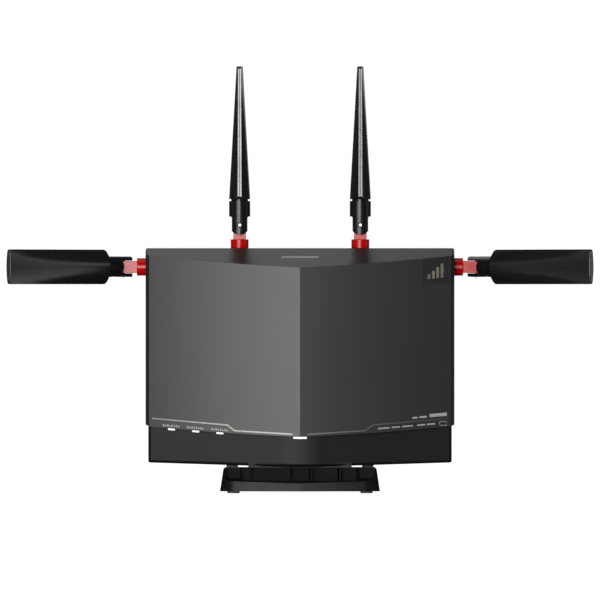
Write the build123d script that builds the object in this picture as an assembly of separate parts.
from build123d import *
import math
import os

# Wireless router with a folded front, four jointed blade antennas and a desk stand.
# Millimetres. +Z is up, the front faces -Y, and the origin is on the desk at the
# middle of the footprint, antennas included.

# --- driving dimensions: body -------------------------------------------------
BODY_W = 285.0            # width over the front cover
BODY_TOP = 226.0          # flat top above the desk
BODY_BACK = 59.0          # back face
RIDGE_Y = -16.0           # vertical ridge in the middle of the front
RIDGE_ANGLE = 7.25        # sweep of each half of the front where it leaves the ridge
FRONT_R = 904.0           # radius of each half of the front, seen from above
SIDE_BEVEL_W = 3.3        # dark bevel between the front and the sides
SIDE_BEVEL_D = 5.0
PARTING_Y = 31.0          # front cover meets rear housing and top panel
WALL = 2.4                # moulded wall thickness
FIT = 0.1                 # gap between mouldings that slide together
FACET_DROP = 18.0         # fall of the sloped top facet from the flat top to the ridge
TOP_CORNER_R = 2.3        # rounding along the top side edges
REAR_CORNER_R = 8.0       # rounding of the vertical rear edges
COVER_FOOT_Z = 52.0       # lower edge of the front cover at the ridge
COVER_FOOT_RISE = 0.3267  # rise of that edge for each mm towards the back
SKIRT_FOOT_Z = 25.0       # underside of the skirt at the ridge
SKIRT_FOOT_RISE = 0.14
SKIRT_NOSE_R = 3.2        # rounding under the front of the skirt
SKIRT_RIM = 6.0           # skirt wall hidden inside the cover
SKIRT_RIDGE_R = 98.0      # soft ridge between the two flat fronts of the skirt

# --- driving dimensions: stand ------------------------------------------------
PAD_R = 5.6               # rubber pads
PAD_Z = 1.85              # stand underside above the desk
PAD_POCKET = 1.0
PAD_XY = [(61.3, -6.0), (61.3, 56.0)]
STAND_TOP = 23.5
STAND_HALF_W = 73.8
STAND_FRONT_Y = -23.5
STAND_REAR_Y = 66.5
STAND_TAPER = 8.6         # side draft in degrees
STAND_FRONT_R = 16.0      # plan radius of the front corners
STAND_REAR_R = 7.0
STAND_FLOOR = 3.0
STAND_BAR_Z = 9.0         # top of the low front bar at its middle
STAND_BAR_RISE = 0.21     # rise of the bar's top for each mm towards the back
STAND_WELL_Y = 0.0        # front of the inner wall behind the bar
STAND_BLOCK_IN = 55.4     # inner side of the end blocks
HOOK_X = (57.2, 67.9)
HOOK_Y = (10.0, 26.0)
STAND_RIBS_X = (-46.0, -9.5, 10.5, 37.0)
BOSS_HALF_W = 47.6        # boss of the skirt that sits on the stand
BOSS_Y = (-4.0, 50.0)
WALL_HOLE_X = 50.0        # holes in the stand floor for wall screws
WALL_HOLE_Y = 52.0
WALL_HOLE_R = 2.2

# --- driving dimensions: antennas ---------------------------------------------
TOP_POST_X = 55.8
TOP_POST_Y = 45.0
SIDE_POST_Y = 39.0
SIDE_POST_Z = 208.6
PIN_HEIGHT = 21.4         # hinge pin above the housing face
SIDE_REST_FOLD = 45.0     # side antennas are folded this far towards the front
COLLAR_R = 8.25
COLLAR_H = 8.2
NECK_HALF_W = 5.75
TONGUE_HALF_T = 5.6
TONGUE_R = 7.0
SHAFT_R = 5.2
SHAFT_L = 12.0
GROOVE_R = 4.0
CABLE_BORE_R = 1.5
KNUCKLE_R = 9.75
KNUCKLE_FOOT = 7.0        # full-width knuckle starts this far above the pin
KNUCKLE_HEAD = 22.15
SLOT_HALF = 5.9
SLOT_ROOT = 7.8
EAR_HALF_W = 7.2
EAR_R = 9.05
NECK_R = 7.75
SPIGOT_R = 6.4
BLADE_FOOT = 23.85
BLADE_TIP = 146.6
BLADE_HALF_W = 16.0
BLADE_FOOT_T = (9.74, 1.9)   # half thickness at the foot, in the middle and at the edges
BLADE_TIP_T = (2.9, 1.45)
BLADE_CORNERS = (2.8, 2.5)   # rounding of the blade's outline at its foot and its tip
ROOM_FOOT_T = (7.6, 1.6)     # the same sizes for the hollow inside the blade
ROOM_TIP_T = (1.2, 0.5)
ROOM_CORNERS = (1.8, 1.5)
PIN_R = 2.2
PIN_BORE_R = 1.5
RUNNING_GAP = 0.05

# --- driving dimensions: electronics ------------------------------------------
BOARD_Y = (40.0, 41.6)
BOARD_HALF_W = 124.0
BOARD_Z = (46.0, 196.0)
PORT_Z = 92.0             # middle of the row of ports
PORT_PLATE_T = 1.8
PORT_PLATE_HALF = (128.0, 13.0)
PORT_FACE_Y = BODY_BACK - 0.4
RJ45_SIZE = (16.2, 13.7)
RJ45_MOUTH = (11.9, 8.0, 12.5)
LAN_X = [-46.0, -28.0, -10.0, 8.0]
WAN_X = 32.0
USB_X = -72.0
DC_X = -96.0
POWER_X = -116.0
RESET_X = 52.0
MODE_X = 66.0
AUTO_X = 88.0
SETUP_X = 112.0
MODE_TRAVEL = 4.0
AUTO_TRAVEL = 2.0
POWER_TRAVEL = 2.0
SETUP_TRAVEL = 0.8
RESET_TRAVEL = 0.6
STATUS_X = [-118.6, -96.2, -73.9]
STATUS_LIGHT = (6.6, 1.85)
POWER_LIGHT = (12.7, 2.2)
TRIM_PATH = [(136.4, 68.9), (67.0, 62.9), (60.2, 57.7), (6.9, 54.5)]
TRIM_HALF_T = 0.62
SKIN_T = 0.2              # how far trim stands proud of the cover
BADGE_X = (113.2, 137.0)
BADGE_Z = (191.4, 215.2)
BADGE_LEAN = 2.4          # the badge's right side sits this much higher
VENT_PITCH = 8.0
BACK_VENTS_X = [VENT_PITCH * i for i in range(-13, 14)]
BACK_VENTS_Z = [(122.0, 146.0), (158.0, 182.0)]
BACK_VENT_W = 3.2
TOP_VENTS_X = [VENT_PITCH * (i + 0.5) for i in range(-16, 16)]
TOP_VENT = (18.0, 3.0)
POST_CLEAR = 13.0         # no top vent comes nearer than this to an antenna post
CASE_POSTS = [(133.0, 186.0), (133.0, 120.0), (25.0, 211.0)]
BOARD_POSTS = [(116.0, 188.0), (116.0, 112.0)]

HALF_W = BODY_W / 2
PLATE_IN = BODY_BACK - PORT_PLATE_T
BACK_IN = BODY_BACK - WALL


# --- small helpers ------------------------------------------------------------
def block(x, y, z):
    """Box from its three (low, high) ranges."""
    size = [b - a for a, b in (x, y, z)]
    middle = [(a + b) / 2 for a, b in (x, y, z)]
    return Pos(*middle) * Box(*size)


def rod(start, direction, radius, length):
    """Cylinder that starts at a point and runs along a direction."""
    plane = Plane(origin=start, z_dir=direction)
    return extrude(plane * Circle(radius), amount=length)


def below(shape, plane):
    return split(shape, bisect_by=plane, keep=Keep.BOTTOM)


def above(shape, plane):
    return split(shape, bisect_by=plane, keep=Keep.TOP)


def both_sides(shape):
    return shape + mirror(shape, about=Plane.YZ)


def slope_plane(y, z, rise):
    """Plane through (y, z) that rises towards the back; its normal points up."""
    return Plane(origin=(0, y, z), x_dir=(1, 0, 0), z_dir=(0, -rise, 1))


def front_y(x):
    """Front face of the cover at a distance x from the ridge."""
    sweep = math.radians(RIDGE_ANGLE)
    reach = abs(x) + FRONT_R * math.sin(sweep)
    return RIDGE_Y + FRONT_R * math.cos(sweep) - math.sqrt(FRONT_R ** 2 - reach ** 2)


FACET_SLOPE = FACET_DROP / (PARTING_Y - RIDGE_Y)
FACET = Plane(origin=(0, PARTING_Y, BODY_TOP), x_dir=(1, 0, 0), z_dir=(0, -FACET_SLOPE, 1))
COVER_FOOT = slope_plane(RIDGE_Y, COVER_FOOT_Z, COVER_FOOT_RISE)
SKIRT_FOOT = slope_plane(RIDGE_Y + WALL, SKIRT_FOOT_Z, SKIRT_FOOT_RISE)


# --- body shells --------------------------------------------------------------
def body_plan(inset, back_y):
    """Plan outline of the body: two swept fronts, side bevels, straight sides."""
    edge_x = HALF_W - SIDE_BEVEL_W
    corner = (edge_x, front_y(edge_x))
    middle = (edge_x / 2, front_y(edge_x / 2))
    side = (HALF_W, front_y(edge_x) + SIDE_BEVEL_D)
    right = [
        ThreePointArc((0, RIDGE_Y), middle, corner),
        Line(corner, side),
        Line(side, (HALF_W, BODY_BACK + WALL)),
    ]
    left = [mirror(edge, about=Plane.YZ) for edge in right]
    rear = Line((HALF_W, BODY_BACK + WALL), (-HALF_W, BODY_BACK + WALL))
    face = make_face(right + left + [rear])
    if inset:
        face = offset(face, amount=-inset, kind=Kind.INTERSECTION)
    return face & Pos(0, back_y / 2 + RIDGE_Y, 0) * Rectangle(2 * BODY_W, back_y - 2 * RIDGE_Y)


def body_prism(inset, back_y):
    return extrude(body_plan(inset, back_y), amount=BODY_TOP - inset)


def case_post(x, z, y0, y1, radius):
    return rod((x, y0, z), (0, 1, 0), radius, y1 - y0)


def make_front_cover():
    outer = above(below(body_prism(0, PARTING_Y), FACET), COVER_FOOT)
    corners = outer.edges().filter_by(
        lambda e: abs(abs(e.center().X) - HALF_W) < 0.1 and e.center().Z > BODY_TOP - 8
    )
    outer = fillet(corners.sort_by(Axis.Z)[-2:], TOP_CORNER_R)
    inner = below(body_prism(WALL, PARTING_Y + WALL), FACET.offset(-WALL))
    posts = Part() + [
        both_sides(case_post(x, z, RIDGE_Y, PARTING_Y, 3.5)) for x, z in CASE_POSTS
    ]
    pilots = [both_sides(case_post(x, z, 12.0, PARTING_Y, 1.25)) for x, z in CASE_POSTS]
    return outer - inner + (posts & outer) - pilots


def rear_plan(half_w, front, back, radius):
    """Rectangle whose two rear corners are rounded."""
    face = Pos(0, (front + back) / 2, 0) * Rectangle(2 * half_w, back - front)
    return fillet(face.vertices().group_by(Axis.Y)[-1], radius)


def swivel_places():
    """Outer end of each antenna bore on the housing, with its outward direction."""
    tops = [((s * TOP_POST_X, TOP_POST_Y, BODY_TOP), (0, 0, 1)) for s in (-1, 1)]
    sides = [((s * HALF_W, SIDE_POST_Y, SIDE_POST_Z), (s, 0, 0)) for s in (-1, 1)]
    return tops + sides


def swivel_bores():
    radius = SHAFT_R + RUNNING_GAP
    return [
        rod(place, [-d for d in out], radius, 3 * WALL) for place, out in swivel_places()
    ]


def vent_slots(xs, z0, z1, width):
    """Upright slots with round ends through the back wall."""
    slot = extrude(Plane.XZ * SlotOverall(z1 - z0, width, rotation=90), amount=8 * WALL, both=True)
    return [Pos(x, BODY_BACK, (z0 + z1) / 2) * slot for x in xs]


def make_rear_housing():
    upper = extrude(rear_plan(HALF_W, PARTING_Y, BODY_BACK, REAR_CORNER_R), amount=BODY_TOP - WALL)
    room = extrude(
        rear_plan(HALF_W - WALL, PARTING_Y - WALL, BACK_IN, REAR_CORNER_R - WALL), amount=BODY_TOP
    )
    shell = above(upper - room, COVER_FOOT)
    for x, z in CASE_POSTS:
        shell += both_sides(case_post(x, z, PARTING_Y + FIT, BACK_IN + WALL / 2, 4.4))
    for x, z in BOARD_POSTS:
        shell += both_sides(case_post(x, z, BOARD_Y[1], BACK_IN + WALL / 2, 3.5))
    for x, z in CASE_POSTS:
        shell -= both_sides(case_post(x, z, PARTING_Y, BODY_BACK, 1.6))
        shell -= both_sides(case_post(x, z, PARTING_Y + 5, BODY_BACK, 3.1))
    for x, z in BOARD_POSTS:
        shell -= both_sides(case_post(x, z, BOARD_Y[1], BOARD_Y[1] + 9, 1.25))
    half_x, half_z = PORT_PLATE_HALF
    window = block(
        (-half_x, half_x), (PLATE_IN, BODY_BACK + 1), (PORT_Z - half_z, PORT_Z + half_z)
    )
    ledge = 3.0
    through = block(
        (ledge - half_x, half_x - ledge),
        (BACK_IN - 1, BODY_BACK),
        (PORT_Z - half_z + 1.5, PORT_Z + half_z - 1.5),
    )
    for z0, z1 in BACK_VENTS_Z:
        shell -= vent_slots(BACK_VENTS_X, z0, z1, BACK_VENT_W)
    return shell - window - through - swivel_bores()


def make_top_panel():
    panel = Pos(0, 0, BODY_TOP - WALL) * extrude(
        rear_plan(HALF_W, PARTING_Y, BODY_BACK, REAR_CORNER_R), amount=WALL
    )
    edges = panel.edges().group_by(Axis.Z)[-1].filter_by(Axis.Y)
    panel = fillet(edges, TOP_CORNER_R)
    tongue = 1.6
    rim = Pos(0, 0, BODY_TOP - WALL - tongue) * extrude(
        rear_plan(HALF_W - WALL - FIT, PARTING_Y + FIT, BACK_IN - FIT, REAR_CORNER_R - WALL),
        amount=tongue,
    )
    hole = Pos(0, 0, BODY_TOP - 3 * WALL) * extrude(
        rear_plan(HALF_W - 3 * WALL, PARTING_Y + WALL, BACK_IN - WALL, 2.0), amount=2 * WALL
    )
    pads = [
        rod((s * TOP_POST_X, TOP_POST_Y, BODY_TOP - WALL - tongue), (0, 0, 1), 9.5, tongue)
        for s in (-1, 1)
    ]
    slot = extrude(SlotOverall(*TOP_VENT, rotation=90), amount=4 * WALL, both=True)
    xs = [x for x in TOP_VENTS_X if abs(abs(x) - TOP_POST_X) > POST_CLEAR]
    slots = [Pos(x, TOP_POST_Y, BODY_TOP) * slot for x in xs]
    return panel + (rim - hole) + pads - slots - swivel_bores()


def skirt_plan(inset):
    """Plan outline of the skirt: two flat fronts with a soft ridge, side bevels, straight sides."""
    edge_x = HALF_W - SIDE_BEVEL_W
    edge_y = front_y(edge_x)
    right = [(edge_x, edge_y), (HALF_W, edge_y + SIDE_BEVEL_D), (HALF_W, BODY_BACK)]
    left = [(-x, y) for x, y in reversed(right)]
    face = make_face(Polyline((0, RIDGE_Y), *right, *left, close=True))
    face = fillet(face.vertices().sort_by(Axis.Y)[0], SKIRT_RIDGE_R)
    return offset(face, amount=-inset, kind=Kind.INTERSECTION)


def skirt_form(inset, nose):
    """Lower body, rounded under its front edge and at its rear corners."""
    half = extrude(skirt_plan(inset), amount=BODY_TOP / 2)
    half &= block((0, BODY_W), (-BODY_W, BODY_W), (0, BODY_TOP))
    half = above(below(half, COVER_FOOT.offset(SKIRT_RIM)), SKIRT_FOOT.offset(inset - WALL - FIT))
    front_edges = [
        e for e in half.edges()
        if e.center().Z < COVER_FOOT_Z - 15
        and e.center().Y < front_y(HALF_W) + inset and e.length > 2 * SIDE_BEVEL_D
    ]
    half = fillet(front_edges, nose)
    rear_edge = half.edges().filter_by(Axis.Z).group_by(Axis.Y)[-1].sort_by(Axis.X)[-1]
    return both_sides(fillet([rear_edge], REAR_CORNER_R - inset))


def light_slots(gap):
    """Rods of the status lights and the power light, grown by a gap."""
    rods = []
    for x in STATUS_X + [0.0]:
        width, height = POWER_LIGHT if x == 0.0 else STATUS_LIGHT
        top = COVER_FOOT_Z + (front_y(x) - RIDGE_Y) * COVER_FOOT_RISE - 0.1
        rods.append(
            block(
                (x - width / 2 - gap, x + width / 2 + gap),
                (RIDGE_Y, BOARD_Y[0] - 1.3),
                (top - height - gap, top + gap),
            )
        )
    return rods


def hook_slots():
    x0, x1 = HOOK_X
    y0, y1 = HOOK_Y
    return both_sides(block((x0 - 0.3, x1 + 0.3), (y0 - 3, y1 + 0.3), (STAND_TOP, 40.0)))


def make_skirt():
    shell = skirt_form(WALL + FIT, SKIRT_NOSE_R)
    room = skirt_form(2 * WALL + FIT, SKIRT_NOSE_R - WALL)
    room += Pos(0, 0, 2 * WALL) * room
    boss = block((-BOSS_HALF_W, BOSS_HALF_W), BOSS_Y, (STAND_TOP, COVER_FOOT_Z))
    boss = below(boss, SKIRT_FOOT.offset(WALL / 2))
    return shell - room + boss - light_slots(0.0) - hook_slots()


def make_case_screws():
    screws = []
    for x, z in CASE_POSTS:
        head = case_post(x, z, PARTING_Y + 5, PARTING_Y + 7.2, 2.9)
        head -= case_post(x, z, PARTING_Y + 6.2, PARTING_Y + 7.2, 0.9)
        shank = case_post(x, z, 19.0, PARTING_Y + 5, 1.25)
        screws += [head + shank, mirror(head + shank, about=Plane.YZ)]
    return screws


def make_port_plate():
    half_x, half_z = PORT_PLATE_HALF
    plate = block(
        (-half_x, half_x), (PLATE_IN, BODY_BACK), (PORT_Z - half_z, PORT_Z + half_z)
    )

    def hole(x, width, height):
        half_w, half_h = width / 2 + 0.15, height / 2 + 0.15
        return block(
            (x - half_w, x + half_w), (PLATE_IN - 1, BODY_BACK + 1),
            (PORT_Z - half_h, PORT_Z + half_h),
        )

    cuts = [hole(x, *RJ45_SIZE) for x in LAN_X + [WAN_X]]
    cuts += [hole(USB_X, 14.5, 7.1), hole(DC_X, 10.0, 11.0), hole(POWER_X, 8.1, 8.1)]
    cuts += [hole(MODE_X + MODE_TRAVEL / 2, 4.2 + MODE_TRAVEL, 4.7)]
    cuts += [hole(AUTO_X + AUTO_TRAVEL / 2, 4.2 + AUTO_TRAVEL, 4.7)]
    cuts += [case_post(SETUP_X, PORT_Z, PLATE_IN - 1, BODY_BACK + 1, 4.05)]
    cuts += [case_post(RESET_X, PORT_Z, PLATE_IN - 1, BODY_BACK + 1, 1.5)]
    return plate - cuts


# --- trim ---------------------------------------------------------------------
def front_skin(face_xz, thickness):
    """Thin skin on the front cover, as wide and high as a face in the XZ plane."""
    grown = extrude(body_plan(-thickness, PARTING_Y), amount=BODY_TOP)
    skin = grown - body_prism(0, PARTING_Y)
    reach = extrude(face_xz, amount=BODY_W / 2, both=True)
    ahead = block((-BODY_W, BODY_W), (RIDGE_Y - 5, front_y(HALF_W) + 1), (0, BODY_TOP))
    return skin & reach & ahead


def make_trim_lines():
    """Two slim metal-look lines that step down towards the ridge."""
    lower = [(x, z - 2 * TRIM_HALF_T) for x, z in reversed(TRIM_PATH)]
    ribbon = Plane.XZ * make_face(Polyline(*TRIM_PATH, *lower, close=True))
    line = front_skin(Pos(0, 0, TRIM_HALF_T) * ribbon, SKIN_T)
    return [line, mirror(line, about=Plane.YZ)]


def make_badge_plate():
    x0, x1 = BADGE_X
    z0, z1 = BADGE_Z
    corners = [(x0, z0), (x1, z0 + BADGE_LEAN), (x1, z1 + BADGE_LEAN), (x0, z1)]
    outline = make_face(Polyline(*corners, close=True))
    return front_skin(Plane.XZ * outline, SKIN_T)


# --- stand --------------------------------------------------------------------
def stand_plan():
    shoulder = (STAND_HALF_W, -13.5)
    points = [
        (0, STAND_FRONT_Y), shoulder, (STAND_HALF_W, STAND_REAR_Y),
        (-STAND_HALF_W, STAND_REAR_Y), (-shoulder[0], shoulder[1]),
    ]
    face = make_face(Polyline(*points, close=True))
    face = fillet(face.vertices().group_by(Axis.Y)[-1], STAND_REAR_R)
    return fillet(face.vertices().group_by(Axis.Y)[1], STAND_FRONT_R)


def make_stand_base():
    form = extrude(stand_plan(), amount=STAND_TOP - PAD_Z, taper=STAND_TAPER)
    form = Pos(0, 0, PAD_Z) * form
    bar_top = slope_plane(STAND_FRONT_Y, STAND_BAR_Z, STAND_BAR_RISE)
    front_zone = block((-BODY_W, BODY_W), (-BODY_W, STAND_WELL_Y), (PAD_Z, BODY_TOP))
    form -= above(front_zone, bar_top)
    floor = PAD_Z + STAND_FLOOR
    open_top = STAND_TOP + 1
    well = block((-54.0, 54.0), (-12.5, STAND_WELL_Y), (floor, open_top))
    room_half = STAND_BLOCK_IN - 3.5
    room = block((-room_half, room_half), (STAND_WELL_Y + 3, STAND_REAR_Y - 9), (floor, open_top))
    notch = block((room_half, STAND_BLOCK_IN), (STAND_WELL_Y, 12.0), (floor, open_top))
    form = form - well - room - both_sides(notch)
    rib_top = STAND_TOP - 1
    for x in STAND_RIBS_X:
        form += block((x - 0.8, x + 0.8), (STAND_WELL_Y - 7, STAND_WELL_Y), (floor, rib_top))
    x0, x1 = HOOK_X
    y0, y1 = HOOK_Y
    form += both_sides(block((x0, x1), (y0, y1), (STAND_TOP, 34.5)))
    form += both_sides(block((x0, x1), (y0 - 2.4, y0), (32.5, 34.5)))
    for x in (-WALL_HOLE_X, WALL_HOLE_X):
        form -= rod((x, WALL_HOLE_Y, 0), (0, 0, 1), WALL_HOLE_R, floor + 1)
    for x, y in PAD_XY:
        form -= both_sides(rod((x, y, PAD_Z), (0, 0, 1), PAD_R + 0.05, PAD_POCKET))
    return form


def make_stand_pads():
    pads = []
    for x, y in PAD_XY:
        for side in (-1, 1):
            pad = rod((side * x, y, 0), (0, 0, 1), PAD_R, PAD_Z + PAD_POCKET)
            pads.append(chamfer(pad.edges().group_by(Axis.Z)[0], 0.4))
    return pads


# --- antennas: built with the pin at the origin, pin axis Y, blade along +Z ----
def make_swivel_post():
    face_z = -PIN_HEIGHT
    head = extrude(Plane.XZ * Circle(TONGUE_R), amount=TONGUE_HALF_T, both=True)
    neck = block(
        (-NECK_HALF_W, NECK_HALF_W), (-TONGUE_HALF_T, TONGUE_HALF_T), (face_z + COLLAR_H, 0)
    )
    collar = rod((0, 0, face_z), (0, 0, 1), COLLAR_R, COLLAR_H)
    collar = chamfer(collar.edges().group_by(Axis.Z)[-1], 0.4)
    shaft = rod((0, 0, face_z - SHAFT_L), (0, 0, 1), SHAFT_R, SHAFT_L)
    ring = rod((0, 0, face_z - 6.2), (0, 0, 1), SHAFT_R + 1, 1.9)
    ring -= rod((0, 0, face_z - 6.2), (0, 0, 1), GROOVE_R, 1.9)
    bore = rod((0, 0, face_z - SHAFT_L), (0, 0, 1), CABLE_BORE_R, SHAFT_L + COLLAR_H + 2)
    pin_hole = extrude(Plane.XZ * Circle(PIN_R + RUNNING_GAP), amount=BLADE_HALF_W, both=True)
    eye = block((-BLADE_HALF_W, BLADE_HALF_W), (-2.2, 2.2), (-7.3, -6.1))
    return head + neck + collar + shaft - ring - bore - pin_hole - eye


def make_hinge_pin():
    pin = extrude(Plane.XZ * Circle(PIN_R), amount=KNUCKLE_R - 0.2, both=True)
    return pin - extrude(Plane.XZ * Circle(PIN_BORE_R), amount=KNUCKLE_R, both=True)


def make_knuckle():
    barrel = rod((0, 0, -EAR_R), (0, 0, 1), KNUCKLE_R, EAR_R + KNUCKLE_HEAD)
    barrel = chamfer(barrel.edges().group_by(Axis.Z)[-1], 0.5)
    round_end = extrude(Plane.XZ * Circle(EAR_R), amount=KNUCKLE_R, both=True)
    upright = block((-KNUCKLE_R, KNUCKLE_R), (-KNUCKLE_R, KNUCKLE_R), (0, KNUCKLE_HEAD))
    form = barrel & (round_end + upright)
    for side in (-1, 1):
        flank = sorted((side * EAR_HALF_W, side * 2 * KNUCKLE_R))
        form -= block(flank, (-KNUCKLE_R, KNUCKLE_R), (-KNUCKLE_R, KNUCKLE_FOOT))
    form -= block((-KNUCKLE_R, KNUCKLE_R), (-SLOT_HALF, SLOT_HALF), (-KNUCKLE_R, SLOT_ROOT))
    form += rod((0, 0, KNUCKLE_HEAD - 1), (0, 0, 1), NECK_R, BLADE_FOOT - KNUCKLE_HEAD + 1)
    form += rod((0, 0, BLADE_FOOT - 1), (0, 0, 1), SPIGOT_R, 9.0)
    form -= extrude(Plane.XZ * Circle(PIN_R), amount=BLADE_HALF_W, both=True)
    return form - rod((0, 0, 0), (0, 0, 1), CABLE_BORE_R, 40.0)


def lens(z, half_w, middle, edge):
    """Blade section: two shallow arcs joined by narrow flat edges."""
    outline = [
        ThreePointArc((edge, -half_w), (middle, 0), (edge, half_w)),
        Line((edge, half_w), (-edge, half_w)),
        ThreePointArc((-edge, half_w), (-middle, 0), (-edge, -half_w)),
        Line((-edge, -half_w), (edge, -half_w)),
    ]
    return Pos(0, 0, z) * make_face(outline)


def blade_form(z0, z1, half_w, foot, tip, radii):
    """Tapering lens-shaped form cut to an outline with rounded corners."""
    body = loft([lens(z0, half_w, *foot), lens(z1, half_w, *tip)], ruled=True)
    outline = Plane.YZ * Pos(0, (z0 + z1) / 2) * Rectangle(2 * half_w, z1 - z0)
    groups = outline.vertices().group_by(Axis.Z)
    outline = fillet(groups[0], radii[0])
    outline = fillet(outline.vertices().group_by(Axis.Z)[-1], radii[1])
    return body & extrude(outline, amount=2 * KNUCKLE_R, both=True)


def make_blade():
    """Hollow blade, split along its middle plane into two shells."""
    outer = blade_form(
        BLADE_FOOT, BLADE_TIP, BLADE_HALF_W, BLADE_FOOT_T, BLADE_TIP_T, BLADE_CORNERS
    )
    inner = blade_form(
        BLADE_FOOT + 6.0, BLADE_TIP - 2.0, BLADE_HALF_W - 2.2, ROOM_FOOT_T, ROOM_TIP_T, ROOM_CORNERS
    )
    hollow = outer - inner - rod((0, 0, 0), (0, 0, 1), SPIGOT_R, BLADE_FOOT + 8.0)
    outer_shell = hollow & block((0, 20), (-20, 20), (0, 200))
    inner_shell = hollow & block((-20, 0), (-20, 20), (0, 200))
    return outer_shell, inner_shell


def make_antenna_element():
    """Printed circuit strip that sits inside the blade."""
    return block((-0.4, 0.4), (-10.0, 10.0), (BLADE_FOOT + 12.0, BLADE_TIP - 12.0))


def antenna_planes():
    """Name, plane of the swivel post and rest fold of each antenna."""
    plan = []
    for side, sign in (("left", -1), ("right", 1)):
        pin = (sign * TOP_POST_X, TOP_POST_Y, BODY_TOP + PIN_HEIGHT)
        plan.append((f"top_{side}", Plane(pin, x_dir=(sign, 0, 0), z_dir=(0, 0, 1)), 0.0))
    for side, sign in (("left", -1), ("right", 1)):
        pin = (sign * (HALF_W + PIN_HEIGHT), SIDE_POST_Y, SIDE_POST_Z)
        plane = Plane(pin, x_dir=(0, -1, 0), z_dir=(sign, 0, 0))
        plan.append((f"side_{side}", plane, SIDE_REST_FOLD))
    return plan


def make_antennas():
    post = make_swivel_post()
    outer_shell, inner_shell = make_blade()
    folding = {
        "hinge_pin": make_hinge_pin(),
        "knuckle": make_knuckle(),
        "outer_shell": outer_shell,
        "inner_shell": inner_shell,
        "element": make_antenna_element(),
    }
    nodes = {}
    for name, plane, fold in antenna_planes():
        nodes[f"{name}_swivel_post"] = plane.location * post
        for piece, shape in folding.items():
            nodes[f"{name}_{piece}"] = plane.location * Rot(0, fold, 0) * shape
    return nodes


def make_swivel_retainers():
    """Forked plates inside the housing that hold the groove of each post."""
    plates = []
    for place, out in swivel_places():
        plane = Plane(origin=place, x_dir=(0, 1, 0), z_dir=out)
        inner_face = -4.4
        plate = Pos(0, 0, inner_face - 1.5) * extrude(Rectangle(15.0, 22.0), amount=1.5)
        plate -= Pos(0, 0, inner_face - 2) * extrude(Circle(GROOVE_R + 0.2), amount=3)
        mouth = Pos(-5.0, 0, inner_face - 2) * extrude(
            Rectangle(10.0, 2 * (GROOVE_R + 0.2)), amount=3
        )
        plates.append(plane.location * (plate - mouth))
    return plates


# --- electronics --------------------------------------------------------------
def board_box(x, z, width, height, y0, y1):
    return block((x - width / 2, x + width / 2), (y0, y1), (z - height / 2, z + height / 2))


def make_main_board():
    board = block((-BOARD_HALF_W, BOARD_HALF_W), BOARD_Y, BOARD_Z)
    holes = [
        both_sides(case_post(x, z, BOARD_Y[0] - 1, BOARD_Y[1] + 1, 1.6)) for x, z in BOARD_POSTS
    ]
    return board - holes


def make_board_screws():
    screws = []
    for x, z in BOARD_POSTS:
        head = case_post(x, z, BOARD_Y[0] - 1.8, BOARD_Y[0], 2.8)
        screw = head + case_post(x, z, BOARD_Y[0], BOARD_Y[1] + 7, 1.25)
        screws += [screw, mirror(screw, about=Plane.YZ)]
    return screws


SHIELDS = [(-62.0, 150.0, 56.0, 48.0), (2.0, 140.0, 48.0, 48.0), (64.0, 150.0, 56.0, 48.0)]
SHIELD_Y = (36.8, BOARD_Y[0])
SINK_Y = (31.0, 35.0)


def make_rf_shields():
    return [board_box(x, z, w, h, *SHIELD_Y) for x, z, w, h in SHIELDS]


def make_thermal_pads():
    return [board_box(x, z, 34.0, 34.0, SINK_Y[1], SHIELD_Y[0]) for x, z, _, _ in SHIELDS]


def make_heat_sink():
    sink = block((-96.0, 96.0), SINK_Y, (104.0, 184.0))
    fins = [
        block((x - 0.9, x + 0.9), (12.0, SINK_Y[0]), (104.0, 184.0)) for x in range(-90, 91, 12)
    ]
    return sink + fins


def make_status_leds():
    return [
        board_box(b.center().X, b.center().Z, 3.0, 1.6, BOARD_Y[0] - 1.0, BOARD_Y[0])
        for b in light_slots(0.0)
    ]


def make_light_guides():
    """Clear rods from the lamps on the board to the slots under the front cover."""
    grown = extrude(skirt_plan(WALL + FIT - 0.25), amount=BODY_TOP)
    return [rod_shape & grown for rod_shape in light_slots(0.0)]


def rj45_socket(x):
    """Square shell with a mouth, a latch groove and a key notch."""
    width, height = RJ45_SIZE
    mouth_w, mouth_h, depth = RJ45_MOUTH
    shell = board_box(x, PORT_Z, width, height, BOARD_Y[1], PORT_FACE_Y)
    mouth_z = PORT_Z + 0.8
    mouth = board_box(x, mouth_z, mouth_w, mouth_h, PORT_FACE_Y - depth, PORT_FACE_Y)
    groove_top = mouth_z - mouth_h / 2
    groove = block(
        (x - 3.1, x + 3.1), (PORT_FACE_Y - depth, PORT_FACE_Y), (groove_top - 1.6, groove_top)
    )
    notch = block(
        (x - 1.7, x + 1.7), (PORT_FACE_Y - depth, PORT_FACE_Y), (groove_top - 2.9, groove_top)
    )
    return shell - mouth - groove - notch


def make_usb_socket():
    shell = board_box(USB_X, PORT_Z, 14.5, 7.1, BOARD_Y[1], PORT_FACE_Y)
    mouth = board_box(USB_X, PORT_Z, 12.5, 5.1, PORT_FACE_Y - 12.0, PORT_FACE_Y)
    tongue = board_box(USB_X, PORT_Z + 1.2, 11.2, 1.9, PORT_FACE_Y - 12.0, PORT_FACE_Y - 1.0)
    return shell - mouth + tongue


def make_dc_inlet():
    shell = board_box(DC_X, PORT_Z, 10.0, 11.0, BOARD_Y[1], PORT_FACE_Y)
    shell -= case_post(DC_X, PORT_Z, PORT_FACE_Y - 9.5, PORT_FACE_Y, 3.2)
    return shell + case_post(DC_X, PORT_Z, PORT_FACE_Y - 10.0, PORT_FACE_Y - 1.0, 1.05)


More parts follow.
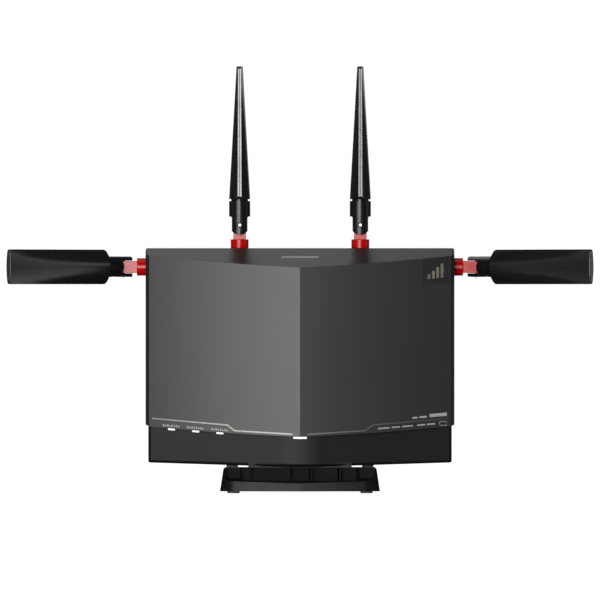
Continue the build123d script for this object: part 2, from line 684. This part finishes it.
def make_power_button():
    cap = board_box(POWER_X, PORT_Z, 8.0, 8.0, 50.0, BODY_BACK + 1.6)
    cap = chamfer(cap.faces().sort_by(Axis.Y)[-1].edges(), 0.5)
    return cap + board_box(POWER_X, PORT_Z, 10.6, 10.6, 54.6, PLATE_IN - 0.1)


def round_button(x, radius, front, flange_r):
    cap = case_post(x, PORT_Z, 49.0, front, radius)
    cap = chamfer(cap.edges().group_by(Axis.Y)[-1], 0.3)
    return cap + case_post(x, PORT_Z, 55.0, PLATE_IN - 0.1, flange_r)


def slide_knob(x):
    knob = board_box(x, PORT_Z, 4.0, 4.5, 53.0, BODY_BACK + 1.2)
    grooves = [
        board_box(x + dx, PORT_Z, 0.5, 4.5, BODY_BACK + 0.7, BODY_BACK + 1.2)
        for dx in (-1.0, 0.0, 1.0)
    ]
    return knob - grooves + board_box(x, PORT_Z, 7.0, 6.6, 50.6, PLATE_IN - 0.1)


def make_push_switches():
    return [
        board_box(POWER_X, PORT_Z, 9.0, 9.0, BOARD_Y[1], 47.6),
        board_box(SETUP_X, PORT_Z, 6.5, 6.5, BOARD_Y[1], 47.8),
        board_box(RESET_X, PORT_Z, 6.5, 6.5, BOARD_Y[1], 47.8),
    ]


def make_slide_switches():
    return [
        board_box(MODE_X + MODE_TRAVEL / 2, PORT_Z, 16.0, 8.0, BOARD_Y[1], 50.3),
        board_box(AUTO_X + AUTO_TRAVEL / 2, PORT_Z, 13.0, 8.0, BOARD_Y[1], 50.3),
    ]


def make_transformers():
    return [board_box(x, PORT_Z + 19.0, 14.0, 12.0, BOARD_Y[1], 47.0) for x in LAN_X + [WAN_X]]


def make_capacitors():
    spots = [(-84.0, 122.0), (-96.0, 122.0), (-106.0, 134.0), (60.0, 122.0), (72.0, 122.0)]
    return [case_post(x, z, BOARD_Y[1], 51.0, 4.0) for x, z in spots]


LEAD_END = (43.0, 184.0)


def lead_plugs():
    return [
        board_box(x, LEAD_END[1] - 2.0, 4.0, 4.0, BOARD_Y[1], BOARD_Y[1] + 2.8)
        for x in (-TOP_POST_X, TOP_POST_X, -106.0, 106.0)
    ]


def lead(points, radius):
    path = FilletPolyline(*points, radius=radius)
    start = Plane(origin=path @ 0, z_dir=path % 0)
    return sweep(start * Circle(0.9), path=path)


def make_antenna_leads():
    """Coaxial leads from the lower end of each post to its plug on the board."""
    y_end, z_end = LEAD_END
    top_z = BODY_TOP - SHAFT_L - 0.4
    side_x = HALF_W - SHAFT_L - 0.4
    leads = []
    for s in (-1, 1):
        x = s * TOP_POST_X
        leads.append(
            lead([(x, TOP_POST_Y, top_z), (x, TOP_POST_Y, 205), (x, y_end, 195), (x, y_end, z_end)], 6)
        )
    for s in (-1, 1):
        route = [
            (s * side_x, SIDE_POST_Y, SIDE_POST_Z), (s * 117, SIDE_POST_Y, SIDE_POST_Z),
            (s * 106, y_end, 200), (s * 106, y_end, z_end),
        ]
        leads.append(lead(route, 6))
    return leads


# --- assembly -----------------------------------------------------------------
def all_nodes():
    nodes = {
        "front_cover": make_front_cover(),
        "rear_housing": make_rear_housing(),
        "top_panel": make_top_panel(),
        "lower_skirt": make_skirt(),
        "port_plate": make_port_plate(),
        "case_screws": make_case_screws(),
        "trim_lines": make_trim_lines(),
        "badge_plate": make_badge_plate(),
        "stand_base": make_stand_base(),
        "stand_pads": make_stand_pads(),
        "swivel_retainers": make_swivel_retainers(),
        "main_board": make_main_board(),
        "board_screws": make_board_screws(),
        "rf_shields": make_rf_shields(),
        "thermal_pads": make_thermal_pads(),
        "heat_sink": make_heat_sink(),
        "status_leds": make_status_leds(),
        "light_guides": make_light_guides(),
        "lan_sockets": [rj45_socket(x) for x in LAN_X],
        "wan_socket": rj45_socket(WAN_X),
        "usb_socket": make_usb_socket(),
        "dc_inlet": make_dc_inlet(),
        "power_button": make_power_button(),
        "setup_button": round_button(SETUP_X, 3.9, BODY_BACK + 1.0, 5.0),
        "reset_button": round_button(RESET_X, 1.3, BODY_BACK - 1.4, 2.6),
        "mode_knob": slide_knob(MODE_X),
        "auto_knob": slide_knob(AUTO_X),
        "push_switches": make_push_switches(),
        "slide_switches": make_slide_switches(),
        "line_transformers": make_transformers(),
        "capacitors": make_capacitors(),
        "lead_plugs": lead_plugs(),
        "antenna_leads": make_antenna_leads(),
    }
    nodes.update(make_antennas())
    return nodes


def main():
    os.makedirs("parts", exist_ok=True)
    for name, shape in all_nodes().items():
        solids = shape if isinstance(shape, list) else [shape]
        whole = Compound(children=[s for piece in solids for s in piece.solids()])
        export_step(whole, f"parts/{name}.step")


main()
